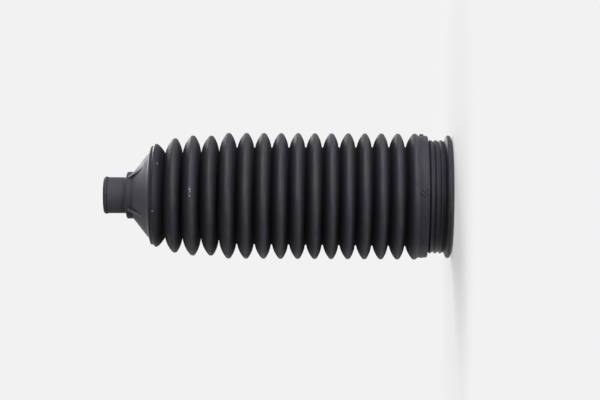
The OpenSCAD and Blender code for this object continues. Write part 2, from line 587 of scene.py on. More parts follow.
    def pride(self, point: Point) -> float:
        """How proud a point of the bellows stands.

        Args:
            point: Radius and height of the point.

        Returns:
            A value from 0 in a root to 1 on a crest.
        """
        radius, height = point
        i = min(range(len(self.root_heights)), key=lambda n: abs(self.root_heights[n] - height))
        k = min(range(self.last_crest + 1), key=lambda n: abs(self.crest_z(n) - height))
        return min(1.0, max(0.0, (radius - self.root_r(i)) / (self.crest_r(k) - self.root_r(i))))


@dataclass
class RackBoot:
    """The boot itself: one closed skin of rubber, lathed from its section and then let wander."""

    large: LargeEndSizes = LargeEndSizes()
    fold_sizes: FoldSizes = FoldSizes()
    small: SmallEndSizes = SmallEndSizes()
    gussets: GussetSizes = GussetSizes()
    flaws: MouldingFlaws = MouldingFlaws()
    steps: MeshSteps = MeshSteps()

    def __post_init__(self) -> None:
        """Works out the heights of the small end's parts."""
        small = self.small
        self.folds = Folds(self.fold_sizes, self.large.top_z)
        self.last_crest_z = self.folds.crest_z(self.folds.last_crest)
        self.collar_z = self.last_crest_z + small.collar_gap
        self.cone_z = self.collar_z + small.cone_step
        self.ring_z = self.cone_z + small.cone_l
        self.cuff_z = self.ring_z + small.ring_l
        self.bead_z = self.cuff_z + small.cuff_l
        self.top_z = self.bead_z + small.bead_l

    def ridge_corners(self) -> list[Corner]:
        """Corners of the grip ridges, steep towards the folds and gentle towards the lip."""
        large = self.large
        seat_r = large.seat_d / 2
        peak_r = seat_r + large.ridge_h
        pitch = (large.seat_l - large.ridge_margin) / large.ridge_count
        corners = []
        for i in range(large.ridge_count):
            foot_z = large.lip_l + (i + 1) * pitch
            peak_z = foot_z - large.ridge_steep_l
            corners += [
                (peak_r, peak_z - large.ridge_flat, large.ridge_edge_r),
                (peak_r, peak_z + large.ridge_flat, large.ridge_edge_r),
                (seat_r, foot_z, large.ridge_edge_r),
            ]
        return corners

    def large_outside(self) -> list[Point]:
        """Outside of the large end, from the chamfer of its bore to the tip of the first crest."""
        large, steps = self.large, self.steps
        seat_r, land_r = large.seat_d / 2, large.land_d / 2
        lip_centre = (large.lip_d / 2 - large.lip_edge_r, large.lip_l / 2)
        lip = arc(lip_centre, large.lip_edge_r, -large.lip_sweep, large.lip_sweep, steps.lip)
        face = soften([
            (large.bore_d / 2 + large.chamfer, 0, 0),
            (seat_r + large.lip_face_rise, 0, large.lip_face_r),
            (*lip[0], 0),
        ])
        edge_centre = (land_r - large.land_edge_r, large.land_z + large.land_edge_r)
        edge = arc(edge_centre, large.land_edge_r, -90, 0, steps.edge)
        seat = soften([
            (*lip[-1], 0),
            (seat_r + large.lip_foot[0], large.lip_l + large.lip_foot[1], large.seat_corner_r),
            (seat_r, large.lip_l, large.seat_corner_r),
            *self.ridge_corners(),
            (seat_r, large.land_z, large.seat_corner_r),
            (*edge[0], 0),
        ])
        sweep = (-self.fold_sizes.first_tip_sweep, self.folds.tip_angle(0, Side.ABOVE))
        tip = self.folds.tip(0, *sweep, 0, steps.end_tip)
        land = soften([
            (*edge[-1], 0),
            (land_r + large.land_crown_h, large.crown_z, large.land_crown_r),
            (land_r, large.top_z, large.land_top_r),
            (*tip[0], 0),
        ])
        return face[:-1] + lip + seat[1:-1] + edge + land[1:-1] + tip

    def small_outside(self) -> list[Point]:
        """Outside of the small end, from the tip of the last crest to the chamfer of its bore."""
        small, steps, last = self.small, self.steps, self.folds.last_crest
        collar_r, cone_r, ring_r = small.collar_d / 2, small.cone_large_d / 2, small.ring_d / 2
        cuff_r, bead_r = small.cuff_d / 2, small.bead_d / 2
        sweep = (self.folds.tip_angle(last, Side.BELOW), self.fold_sizes.last_tip_sweep)
        tip = self.folds.tip(last, *sweep, 0, steps.end_tip)
        ring_centre = (ring_r - small.ring_edge_r, self.cuff_z - small.ring_edge_r)
        ring = arc(ring_centre, small.ring_edge_r, 0, 90, steps.edge)
        fillet_centre = (cuff_r + small.cuff_fillet_r, self.cuff_z + small.cuff_fillet_r)
        fillet = arc(fillet_centre, small.cuff_fillet_r, 270, 180, steps.edge)
        cone = soften([
            (*tip[-1], 0),
            (collar_r, self.collar_z - small.collar_l, small.collar_foot_r),
            (collar_r, self.collar_z - small.collar_edge, small.collar_edge_r),
            (collar_r - small.collar_edge, self.collar_z, small.collar_edge_r),
            (cone_r, self.cone_z, small.cone_foot_r),
            (ring_r, self.ring_z, small.corner_r),
            (*ring[0], 0),
        ])
        bead_centre = (bead_r - small.bead_edge_r, self.bead_z + small.bead_peak_rise)
        bead = arc(bead_centre, small.bead_edge_r, *small.bead_sweep, steps.bead)
        rim = soften([
            (*fillet[-1], 0),
            (cuff_r, self.bead_z, small.bead_foot_r),
            (*bead[0], 0),
        ])
        face = soften([
            (*bead[-1], 0),
            (bead_r - small.bead_face_drop, self.top_z, small.corner_r),
            (small.bore_d / 2 + small.chamfer, self.top_z, 0),
        ])
        return tip + cone[1:-1] + ring + fillet + rim[1:-1] + bead + face[1:]

    def cone_inward(self) -> Point:
        """Step from the outside of the cone to its inside, square to its slope."""
        small = self.small
        run = Vector((small.ring_d / 2 - small.cone_large_d / 2, small.cone_l))
        inward = Vector((-run.y, run.x)).normalized() * small.cone_wall
        return (inward.x, inward.y)

    def small_inside(self) -> list[Point]:
        """Inside of the small end, from the mouth of its bore to the last crest."""
        small, last = self.small, self.folds.last_crest
        bore_r, cone_r = small.bore_d / 2, small.cone_large_d / 2
        inward = self.cone_inward()
        start = (cone_r + inward[0], self.cone_z + inward[1])
        slope = small.cone_l / (cone_r - small.ring_d / 2)
        foot_z = start[1] + (start[0] - bore_r) * slope
        sweep = (self.fold_sizes.inner_tip_sweep, self.folds.tip_angle(last, Side.BELOW))
        tip = self.folds.tip(last, *sweep, self.fold_sizes.wall, self.steps.inner_tip)
        line = soften([
            (bore_r, self.top_z - small.chamfer, 0),
            (bore_r, foot_z, small.inside_corner_r),
            (*start, small.inside_corner_r),
            (*tip[0], 0),
        ])
        return line[:-1] + tip

    def large_inside(self) -> list[Point]:
        """Inside of the large end, from the first crest to the mouth of its bore."""
        large = self.large
        bore_r = large.bore_d / 2
        bore_top_z = large.land_z + large.bore_top_rise
        inside_r = large.land_d / 2 - large.land_wall
        sweep = (self.folds.tip_angle(0, Side.ABOVE), -self.fold_sizes.inner_tip_sweep)
        tip = self.folds.tip(0, *sweep, self.fold_sizes.wall, self.steps.inner_tip)
        line = soften([
            (*tip[-1], 0),
            (inside_r, large.top_z - large.land_inside_drop, large.land_inside_r),
            (inside_r - large.land_draft, bore_top_z + large.land_wall, large.bore_top_r),
            (bore_r, bore_top_z, large.bore_top_r),
            (bore_r, large.chamfer, 0),
        ])
        return tip + line[1:]

    def outside(self) -> list[Point]:
        """The whole outer line, from the large bore's chamfer to the small bore's chamfer."""
        steps = self.steps
        low = spread(self.large_outside(), steps.outer_longest)
        high = spread(self.small_outside(), steps.outer_longest)
        return low + self.folds.row(0, steps.outer_folds) + high

    def inside(self) -> list[Point]:
        """The whole inner line, from the small bore's mouth back to the large bore's mouth."""
        steps = self.steps
        high = spread(self.small_inside(), steps.inner_longest)
        low = spread(self.large_inside(), steps.inner_longest)
        return high + self.folds.row(self.fold_sizes.wall, steps.inner_folds)[::-1] + low

    def radius_at(self, height: float) -> float:
        """Outer radius of the boot at a height, read from its outer line."""
        nearest = min(self.outside(), key=lambda point: abs(point[1] - height))
        return nearest[0]

    def column_turn(self, column: int, radius: float, height: float) -> float:
        """Angle of one column of the mesh, drawn together beside the gussets.

        Args:
            column: Number of the column.
            radius: Radius of the row.
            height: Height of the row.

        Returns:
            The angle round the axis, in radians.
        """
        gussets = self.gussets
        per_gusset = self.steps.columns // gussets.count
        middle = per_gusset // 2
        offset = (column + middle) % per_gusset - middle
        even = 2 * math.pi / self.steps.columns
        places = gussets.column_places
        pull = smoothstep(*gussets.gather_low, height) * smoothstep(*gussets.gather_high, height)
        turn = offset * even
        size = abs(offset)
        if pull > 0 and size < middle:
            last = len(places) - 1
            if size <= last:
                wanted = places[size] / radius
            else:
                edge = places[last] / radius
                rest = (size - last) / (middle - last)
                wanted = edge + (middle * even - edge) * rest
            turn = math.copysign(size * even + (wanted - size * even) * pull, offset)
        return math.radians(gussets.turn) + (column - offset) * even + turn

    def gusset_rise(self, turn: float, radius: float, height: float) -> float:
        """How far a gusset lifts the outer skin at one point.

        Args:
            turn: Angle round the axis, in radians.
            radius: Radius of the skin without gussets.
            height: Height of the point.

        Returns:
            The outward lift, in millimetres.
        """
        gussets, small = self.gussets, self.small
        ring_r, cone_r = small.ring_d / 2, small.cone_large_d / 2
        top_z = self.cuff_z - gussets.drop
        foot_z = self.ring_z - gussets.reach
        foot_r = ring_r + (cone_r - ring_r) * gussets.reach / small.cone_l
        if not foot_z < height < top_z:
            return 0.0
        ridge_r = ring_r + (foot_r - ring_r) * (top_z - height) / (top_z - foot_z)
        step = 2 * math.pi / gussets.count
        off = (turn - math.radians(gussets.turn) + step / 2) % step - step / 2
        across = abs(off) * radius
        half = gussets.width / 2
        share = smoothstep(half + gussets.fillet, half - gussets.edge, across)
        return max(0.0, ridge_r - radius) * share

    def wander(self, turn: float, radius: float, height: float) -> tuple[float, float]:
        """How far the moulding strays at one point; both skins stray together.

        Args:
            turn: Angle round the axis, in radians.
            radius: Radius of the point.
            height: Height of the point.

        Returns:
            The change of radius, never positive, and of height.
        """
        flaws = self.flaws
        free = smoothstep(*flaws.large_end_fade, height)
        free *= smoothstep(self.top_z, self.top_z - flaws.small_end_fade, height)
        around = Vector((math.cos(turn), math.sin(turn)))
        reach = flaws.wander_round
        slow = Vector((around.x * reach, around.y * reach, height / flaws.wander_length))
        rise = flaws.wander_z * noise.noise(slow) * free
        oval = -flaws.out_of_round * cloud_at(slow + Vector(flaws.oval_shift)) * free
        fine = Vector((around.x * radius, around.y * radius, height)) / flaws.ripple_length
        return oval - flaws.ripple * cloud_at(fine), rise

    def trimming(self, turn: float, radius: float, height: float) -> float:
        """How far the rough trimming of the cuff's bead cuts in at one point.

        Args:
            turn: Angle round the axis, in radians.
            radius: Radius of the point.
            height: Height of the point.

        Returns:
            The change of radius, never positive.
        """
        flaws = self.flaws
        cuff_r = self.small.cuff_d / 2
        rough = smoothstep(self.bead_z + flaws.trim_rise, self.bead_z + self.small.bead_peak_rise, height)
        rough *= smoothstep(cuff_r - flaws.trim_depth, cuff_r, radius)
        place = Vector((math.cos(turn) * radius, math.sin(turn) * radius, height)) / flaws.trim_length
        return -flaws.trim * rough * cloud_at(place)

    def corner(self, column: int, point: Point, skin: Skin) -> tuple[float, float, float]:
        """Where one corner of the mesh stands.

        Args:
            column: Number of the corner's column.
            point: Radius and height of its row.
            skin: The surface that it belongs to.

        Returns:
            The place, in metres.
        """
        radius, height = point
        turn = self.column_turn(column, radius, height)
        inset, rise = self.wander(turn, radius, height)
        if skin is Skin.OUTSIDE:
            inset += self.trimming(turn, radius, height)
            inset += self.gusset_rise(turn, radius, height)
        reach = (radius + inset) * MM
        return (reach * math.cos(turn), reach * math.sin(turn), (height + rise) * MM)

    def pride(self, point: Point, skin: Skin) -> float:
        """How proud one row of the mesh stands.

        Args:
            point: Radius and height of the row.
            skin: The surface that it belongs to.

        Returns:
            The value that the finish reads.
        """
        if skin is Skin.INSIDE:
            return INSIDE_PRIDE
        on_folds = self.folds.first_crest_z < point[1] < self.last_crest_z
        return self.folds.pride(point) if on_folds else BAND_PRIDE

    def build(self) -> bpy.types.Object:
        """Lathes the section, lifts the gussets, lets the skin wander and makes the mesh."""
        columns = self.steps.columns
        rows = [(point, Skin.OUTSIDE) for point in self.outside()]
        rows += [(point, Skin.INSIDE) for point in self.inside()]
        places = [self.corner(column, *row) for row in rows for column in range(columns)]
        pride = [value for row in rows for value in [self.pride(*row)] * columns]
        faces = closed_faces(len(rows), columns)
        LOG.info("boot: %d rows of %d columns, %d triangles", len(rows), columns, 2 * len(faces))
        return rubber_piece("boot_skin", places, faces, pride)


@dataclass(frozen=True)
class Pip:
    """One small moulded mark on the plain band; its turn is in degrees."""

    turn: float
    height: float
    diameter: float
    rise: float
    stretch: float = 1.0


@dataclass
class MouldMarks:
    """Plain pips and the index nib on the plain band, each a low dome sunk into the rubber."""

    boot: RackBoot
    pips: tuple[Pip, ...] = (
        Pip(turn=-87.4, height=15.6, diameter=1.5, rise=0.40),
        Pip(turn=-85.0, height=14.4, diameter=1.3, rise=0.42, stretch=1.5),
        Pip(turn=-89.6, height=14.3, diameter=1.4, rise=0.40),
        Pip(turn=-83.2, height=13.3, diameter=1.2, rise=0.40),
        Pip(turn=-87.8, height=13.1, diameter=1.3, rise=0.42),
        Pip(turn=-108.5, height=13.8, diameter=1.2, rise=0.34),
        Pip(turn=-133.0, height=14.4, diameter=0.9, rise=0.32, stretch=2.0),
        Pip(turn=-136.5, height=14.4, diameter=0.9, rise=0.32, stretch=2.0),
    )
    nib: Pip = Pip(turn=0.0, height=15.3, diameter=2.1, rise=0.6)
    pip_flat: float = 0.25
    nib_flat: float = 0.75
    sides: int = 20
    rings: int = 4
    sink: float = 0.25

    def dome(self, pip: Pip, flat: float) -> tuple[list[Vector], list[list[int]]]:
        """One closed dome.

        Args:
            pip: The mark to make.
            flat: Share of its radius that is flat on top.

        Returns:
            The corners, in metres, and the faces.
        """
        base_r = self.boot.radius_at(pip.height)
        radius = pip.diameter / 2
        profile = [(radius, -self.sink)]
        for i in range(self.rings + 1):
            a = math.radians(90 * i / self.rings)
            profile.append((radius * (flat + (1 - flat) * math.cos(a)), pip.rise * math.sin(a)))
        turned = Matrix.Rotation(math.radians(pip.turn), 3, "Z")
        places, faces = [], []
        for reach, rise in profile:
            for i in range(self.sides):
                a = 2 * math.pi * i / self.sides
                height = pip.height + reach * pip.stretch * math.sin(a)
                places.append(turned @ Vector((base_r + rise, reach * math.cos(a), height)) * MM)
        for ring in range(len(profile) - 1):
            low, high = ring * self.sides, (ring + 1) * self.sides
            for i in range(self.sides):
                j = (i + 1) % self.sides
                faces.append([low + i, low + j, high + j, high + i])
        last = (len(profile) - 1) * self.sides
        faces.append([last + i for i in range(self.sides)])
        faces.append(list(range(self.sides))[::-1])
        return places, faces

    def build(self) -> bpy.types.Object:
        """Joins all marks into one piece."""
        places: list[Vector] = []
        faces: list[list[int]] = []
        marks = [(pip, self.pip_flat) for pip in self.pips] + [(self.nib, self.nib_flat)]
        for pip, flat in marks:
            corners, sides = self.dome(pip, flat)
            faces += [[index + len(places) for index in side] for side in sides]
            places += corners
        LOG.info("marks: %d pips and the index nib", len(self.pips))
        return rubber_piece("mould_marks", places, faces, [BAND_PRIDE] * len(places))


class Wire:
    """An output socket of a shader tree, with arithmetic that adds Math nodes."""

    def __init__(self, bench: "Bench", socket: bpy.types.NodeSocket | None) -> None:
        """Wraps a socket.

        Args:
            bench: The tree that the socket belongs to.
            socket: The output socket, or None for a node that ends its tree.
        """
        self.bench = bench
        self.socket = socket

    def _math(self, operation: str, *values: "Wire | float") -> "Wire":
        """Adds one Math node with the given operation and inputs."""
        return self.bench.node("ShaderNodeMath", {"operation": operation}, dict(enumerate(values)))

    def __add__(self, other: "Wire | float") -> "Wire":
        """Sum."""
        return self._math("ADD", self, other)

    __radd__ = __add__

    def __mul__(self, other: "Wire | float") -> "Wire":
        """Product."""
        return self._math("MULTIPLY", self, other)

    __rmul__ = __mul__

    def __sub__(self, other: "Wire | float") -> "Wire":
        """Difference."""
        return self._math("SUBTRACT", self, other)

    def __rsub__(self, other: float) -> "Wire":
        """Difference from a number."""
        return self._math("SUBTRACT", other, self)

    def at_least(self, other: "Wire | float") -> "Wire":
        """The larger of two values."""
        return self._math("MAXIMUM", self, other)

    def sine(self) -> "Wire":
        """Sine of an angle in radians."""
        return self._math("SINE", self)

    def turn_from(self, x: "Wire") -> "Wire":
        """Angle of the point at x and this y, in radians from the X axis."""
        return self._math("ARCTAN2", self, x)

    def sibling(self, output: str | int) -> "Wire":
        """Another output of the same node, by its number or name."""
        return Wire(self.bench, self.bench.find(self.socket.node.outputs, output))

    def ramp(self, low: float, high: float, origin: float = 0.0) -> "Wire":
        """A smooth rise from 0 at low to 1 at high.

        Args:
            low: Value that gives 0.
            high: Value that gives 1; it may lie below low.
            origin: Value from which both are counted.

        Returns:
            The risen value, kept between 0 and 1.
        """
        limits = {"From Min": origin + low, "From Max": origin + high, "To Min": 0.0, "To Max": 1.0}
        settings = {"interpolation_type": "SMOOTHSTEP", "clamp": True}
        return self.bench.node("ShaderNodeMapRange", settings, {"Value": self, **limits})


class Bench:
    """Adds nodes to one shader tree."""

    def __init__(self, tree: bpy.types.NodeTree) -> None:
        """Empties a tree and takes it over.

        Args:
            tree: The tree of a material or of the world.
        """
        self.tree = tree
        tree.nodes.clear()

    @staticmethod
    def find(sockets: bpy.types.NodeInputs | bpy.types.NodeOutputs, key: str | int) -> bpy.types.NodeSocket:
        """Finds a socket.

        Args:
            sockets: The inputs or the outputs of a node.
            key: Number, identifier or name of the wanted one.

        Returns:
            The socket.
        """
        if isinstance(key, int):
            return sockets[key]
        same = [socket for socket in sockets if socket.identifier == key]
        return same[0] if same else sockets[key]

    def node(
        self,
        kind: str,
        settings: dict[str, object] | None = None,
        inputs: dict[str | int, object] | None = None,
        output: str | int = 0,
    ) -> Wire:
        """Adds one node.

        Args:
            kind: Blender's name for the type of node.
            settings: Properties to set first.
            inputs: A value or a wire for each input socket, by its number, identifier or name.
            output: Number, identifier or name of the output that is wanted.

        Returns:
            The wrapped output.
        """
        made = self.tree.nodes.new(kind)
        for name, value in (settings or {}).items():
            setattr(made, name, value)
        for key, value in (inputs or {}).items():
            socket = self.find(made.inputs, key)
            if isinstance(value, Wire):
                self.tree.links.new(value.socket, socket)
            else:
                socket.default_value = value
        return Wire(self, self.find(made.outputs, output) if made.outputs else None)

    def mix(self, factor: Wire | float, first: Wire | Colour, second: Wire | Colour) -> Wire:
        """Mixes two colours.

        Args:
            factor: Share of the second colour.
            first: The colour at 0.
            second: The colour at 1.

        Returns:
            The mixed colour.
        """
        inputs = {"Factor_Float": factor, "A_Color": first, "B_Color": second}
        return self.node("ShaderNodeMix", {"data_type": "RGBA"}, inputs, "Result_Color")

    def mix_shaders(self, factor: Wire, first: Wire, second: Wire) -> Wire:
        """Mixes two shaders; the factor is the share of the second."""
        return self.node("ShaderNodeMixShader", None, {0: factor, 1: first, 2: second})

    def measure(self, operation: str, *places: Wire | Sequence[float]) -> Wire:
        """A length or a distance, worked out by a Vector Math node."""
        inputs = dict(enumerate(places))
        return self.node("ShaderNodeVectorMath", {"operation": operation}, inputs, "Value")

    def noise(self, place: Wire, scale: float, detail: float, roughness: float) -> Wire:
        """Cloudy noise from 0 to 1.

        Args:
            place: Where to read it.
            scale: Number of its features in one unit of place.
            detail: Number of finer layers.
            roughness: Weight of the finer layers.

        Returns:
            The noise value.
        """
        inputs = {"Vector": place, "Scale": scale, "Detail": detail, "Roughness": roughness}
        return self.node("ShaderNodeTexNoise", {"noise_dimensions": "3D"}, inputs)

    def output(self, shader: Wire, kind: str = "ShaderNodeOutputMaterial") -> None:
        """Ends the tree in an output node of the given kind."""
        self.node(kind, None, {"Surface": shader})


@dataclass(frozen=True)
class Cloud:
    """A layer of cloudy noise: size of its features, finer layers, and the span that makes a mask."""

    size: float
    detail: float
    roughness: float = 0.5
    span: Span | None = None

    def over(self, place: Wire) -> Wire:
        """Lays the noise over the rubber.

        Args:
            place: Object coordinates, in metres.

        Returns:
            The mask, or the noise itself where no span is given.
        """
        made = place.bench.noise(place, 1 / (self.size * MM), self.detail, self.roughness)
        return made.ramp(*self.span) if self.span else made


@dataclass(frozen=True)
class Streaks:
    """Fine streaks that run round the boot: features in a radian and in a millimetre of height."""

    per_radian: float = 4.0
    per_mm: float = 1.6
    detail: float = 3.0
    roughness: float = 0.6
    span: Span = (0.5, 0.78)

    def over(self, turn: Wire, height: Wire) -> Wire:
        """Lays the streaks over the rubber.

        Args:
            turn: Turn round the axis, in radians.
            height: Height above the floor, in millimetres.

        Returns:
            1 on a streak and 0 elsewhere.
        """
        bench = turn.bench
        inputs = {"X": turn * self.per_radian, "Y": 0.0, "Z": height * self.per_mm}
        place = bench.node("ShaderNodeCombineXYZ", None, inputs)
        return bench.noise(place, 1.0, self.detail, self.roughness).ramp(*self.span)


@dataclass(frozen=True)
class Stripe:
    """A band round the boot: its edges, how far it fades out beyond them, and its strength."""

    low: float
    high: float
    soft: float = 0.3
    share: float = 1.0

    def over(self, height: Wire, origin: float = 0.0) -> Wire:
        """Lays the band over the rubber.

        Args:
            height: Height above the floor, in millimetres.
            origin: Height from which the edges are counted.

        Returns:
            The strength in the band, and 0 away from it.
        """
        rise = height.ramp(self.low - self.soft, self.low, origin)
        return rise * height.ramp(self.high + self.soft, self.high, origin) * self.share


@dataclass(frozen=True)
class Speck:
    """A pale fleck on the outside, by its turn round the axis in degrees and its height."""

    turn: float
    height: float
    radius: float


@dataclass(frozen=True)
class Specks:
    """All pale flecks, with ragged edges."""

    edge: Cloud = Cloud(0.5, 2.0)
    raggedness: float = 0.8
    core_share: float = 0.4
    specks: tuple[Speck, ...] = (
        Speck(-82.0, 129.5, 0.34),
        Speck(-84.2, 129.2, 0.62),
        Speck(-86.2, 128.9, 0.42),
        Speck(-88.0, 129.4, 0.30),
        Speck(-90.4, 129.0, 0.44),
        Speck(-107.5, 147.6, 0.50),
        Speck(-50.0, 145.6, 0.50),
        Speck(-112.0, 113.5, 0.40),
        Speck(64.0, 71.0, 0.45),
        Speck(160.0, 98.0, 0.40),
        Speck(118.0, 40.0, 0.45),
    )

    def over(self, place: Wire, boot: RackBoot) -> Wire:
        """Lays the flecks over the rubber.

        Args:
            place: Object coordinates, in metres.
            boot: The boot that the flecks lie on.

        Returns:
            1 on a fleck and 0 elsewhere.
        """
        ragged = (self.edge.over(place) - 0.5) * (self.raggedness * MM)
        mask: Wire | None = None
        for speck in self.specks:
            turn = math.radians(speck.turn)
            reach = boot.radius_at(speck.height) * MM
            centre = (reach * math.cos(turn), reach * math.sin(turn), speck.height * MM)
            away = place.bench.measure("DISTANCE", place, centre) + ragged
            spot = away.ramp(speck.radius * MM, speck.radius * self.core_share * MM)
            mask = spot if mask is None else mask.at_least(spot)
        return mask


@dataclass(frozen=True)
class RubberMaps:
    """What the layers of the finish read.

    Place is in metres, turn in radians and height in millimetres. The others are masks from 0 to 1.
    """

    bench: Bench
    boot: RackBoot
    place: Wire
    turn: Wire
    height: Wire
    pride: Wire
    mottle: Wire
    slow: Wire
    streak: Wire
    scuff: Wire
    bloom_and_light: Wire
    flecks: Wire


@dataclass(frozen=True)
class RubberColours:
    """Colours of the rubber: its own tones and flecks, painted shade for its roots and creases, a painted
    highlight for its crests, and painted light for its small end, gussets and fillets.
    """

    # Painted shade: the darkest shade, for the roots, the creases, the gussets' corners and the bead's rim
    root: Colour = (0.003, 0.003, 0.0035, 1)
    base: Colour = (0.0036, 0.0035, 0.0047, 1)
    cool: Colour = (0.0045, 0.0038, 0.0090, 1)
    band: Colour = (0.0145, 0.0144, 0.0200, 1)
    # Painted highlight and wear on the crests, neutral and cool
    crest_highlight_and_wear: Colour = (0.024, 0.024, 0.025, 1)
    cool_crest_highlight_and_wear: Colour = (0.023, 0.0213, 0.032, 1)
    # Bloom on the small end, partly painted light that makes it paler
    bloom_and_light: Colour = (0.050, 0.049, 0.061, 1)
    # Painted highlight: the light line along the crest tips
    highlight_line: Colour = (0.060, 0.060, 0.064, 1)
    # Painted light: the cone's face paler, as if lit from the small end's side
    cone: Colour = (0.108, 0.107, 0.129, 1)
    # Painted light: on the gussets' backs, the corner at the cone's foot and the fillet at the cuff's foot
    painted_light: Colour = (0.200, 0.198, 0.225, 1)
    fleck: Colour = (0.20, 0.21, 0.22, 1)


@dataclass(frozen=True)
class FoldColourLightAndShade:
    """Painted shade in the roots of the folds, a painted highlight on their crests, and wear on them.

    A span gives where a mask starts and where it is full. It is in pride, but in radians for from_turn
    and to_turn, in millimetres from the last crest for last_crest, and in the strength of the crests'
    painted highlight for full_folds. A share scales a layer, and a level is what is left of it where it is
    broken up.
    """

    cool_share: float = 0.7
    # Painted shade: the rubber darkens towards the roots
    root: Span = (0.55, 0.0)
    root_shade_share: float = 0.8
    # Painted highlight on the crests, with wear
    crest_highlight: Span = (0.45, 0.92)
    crest_highlight_level: float = 0.55
    mottle_share: float = 0.3
    scuff_share: float = 0.15
    band_share: float = 0.60
    band_fade: float = 2
    last_crest: Span = (-3.1, -1.1)
    last_crest_drop: float = 0.35
    patches: Cloud = Cloud(13.0, 2.0, span=(0.42, 0.62))
    # Painted highlight line along the crest tips, between from_turn and to_turn
    line: Span = (0.965, 0.995)
    from_turn: Span = (-1.66, -1.48)
    to_turn: Span = (-0.35, -0.8)
    full_folds: Span = (0.62, 1.0)
    highlight_line_level: float = 0.25
    highlight_line_share: float = 0.45

    def colour(self, maps: RubberMaps, tint: RubberColours) -> Wire:
        """Colours the folds.

        Args:
            maps: The masks to work with.
            tint: The colours of the rubber.

        Returns:
            The colour of the whole boot before its ends are coloured.
        """
        bench, pride, height, boot = maps.bench, maps.pride, maps.height, maps.boot
        colour = bench.mix(maps.slow * self.cool_share, tint.base, tint.cool)
        # Painted shade: darker towards the roots
        colour = bench.mix(pride.ramp(*self.root) * self.root_shade_share, colour, tint.root)
        # Painted highlight on the crests, weaker at the plain band and the last crest, broken up by mottling
        # and scuffs, which are wear
        uneven = self.crest_highlight_level + maps.mottle * self.mottle_share + maps.scuff * self.scuff_share
        folds = self.band_share + height.ramp(0, self.band_fade, boot.large.top_z) * (1 - self.band_share)
        folds = folds - height.ramp(*self.last_crest, boot.last_crest_z) * self.last_crest_drop
        crest_highlight_and_wear = bench.mix(self.patches.over(maps.place), tint.crest_highlight_and_wear, tint.cool_crest_highlight_and_wear)
        colour = bench.mix(pride.ramp(*self.crest_highlight) * uneven * folds, colour, crest_highlight_and_wear)
        # Painted highlight: a light line along the crest tips, on the front and upper side
        highlight_side = maps.turn.ramp(*self.from_turn) * maps.turn.ramp(*self.to_turn)
        line = pride.ramp(*self.line) * highlight_side * folds.ramp(*self.full_folds)
        broken = self.highlight_line_level + maps.streak * (1 - self.highlight_line_level)
        return bench.mix(line * broken * self.highlight_line_share, colour, tint.highlight_line)


@dataclass(frozen=True)
class GussetLightAndShade:
    """Painted highlight on the gussets' backs and painted shade in the corners at their feet; the spans are
    shares of the place of a gusset's side, squared.
    """

    middle_rise: float = 2
    foot_lift: float = 0.3
    # Painted highlight on the gussets' backs
    back: Span = (1.15, 0.7)
    back_share: float = 0.8
    # Painted shade in the corners at the gussets' feet
    corner: Span = (4.5, 2.0)
    corner_shade_share: float = 0.7

    def over(self, maps: RubberMaps) -> tuple[Wire, Wire]:
        """Lays the painted highlight and shade over the gussets.

        Args:
            maps: The masks to work with.

        Returns:
            The mask of the painted highlight on the backs and the mask of the painted shade in the corners
            at their feet.
        """
        boot = maps.boot
        gussets = boot.gussets
        off = ((maps.turn - math.radians(gussets.turn)) * (gussets.count / 2)).sine()
        off = off * off
        middle_r = boot.small.ring_d / 2 + self.middle_rise
        side = (gussets.width / 2 / middle_r * gussets.count / 2) ** 2
        low = boot.ring_z - gussets.reach + self.foot_lift
        span = Stripe(low, boot.cuff_z - gussets.drop).over(maps.height)
        back = off.ramp(*(side * share for share in self.back))
        corner = off.ramp(*(side * share for share in self.corner)) * (1 - back)
        return back * span * self.back_share, corner * span * self.corner_shade_share


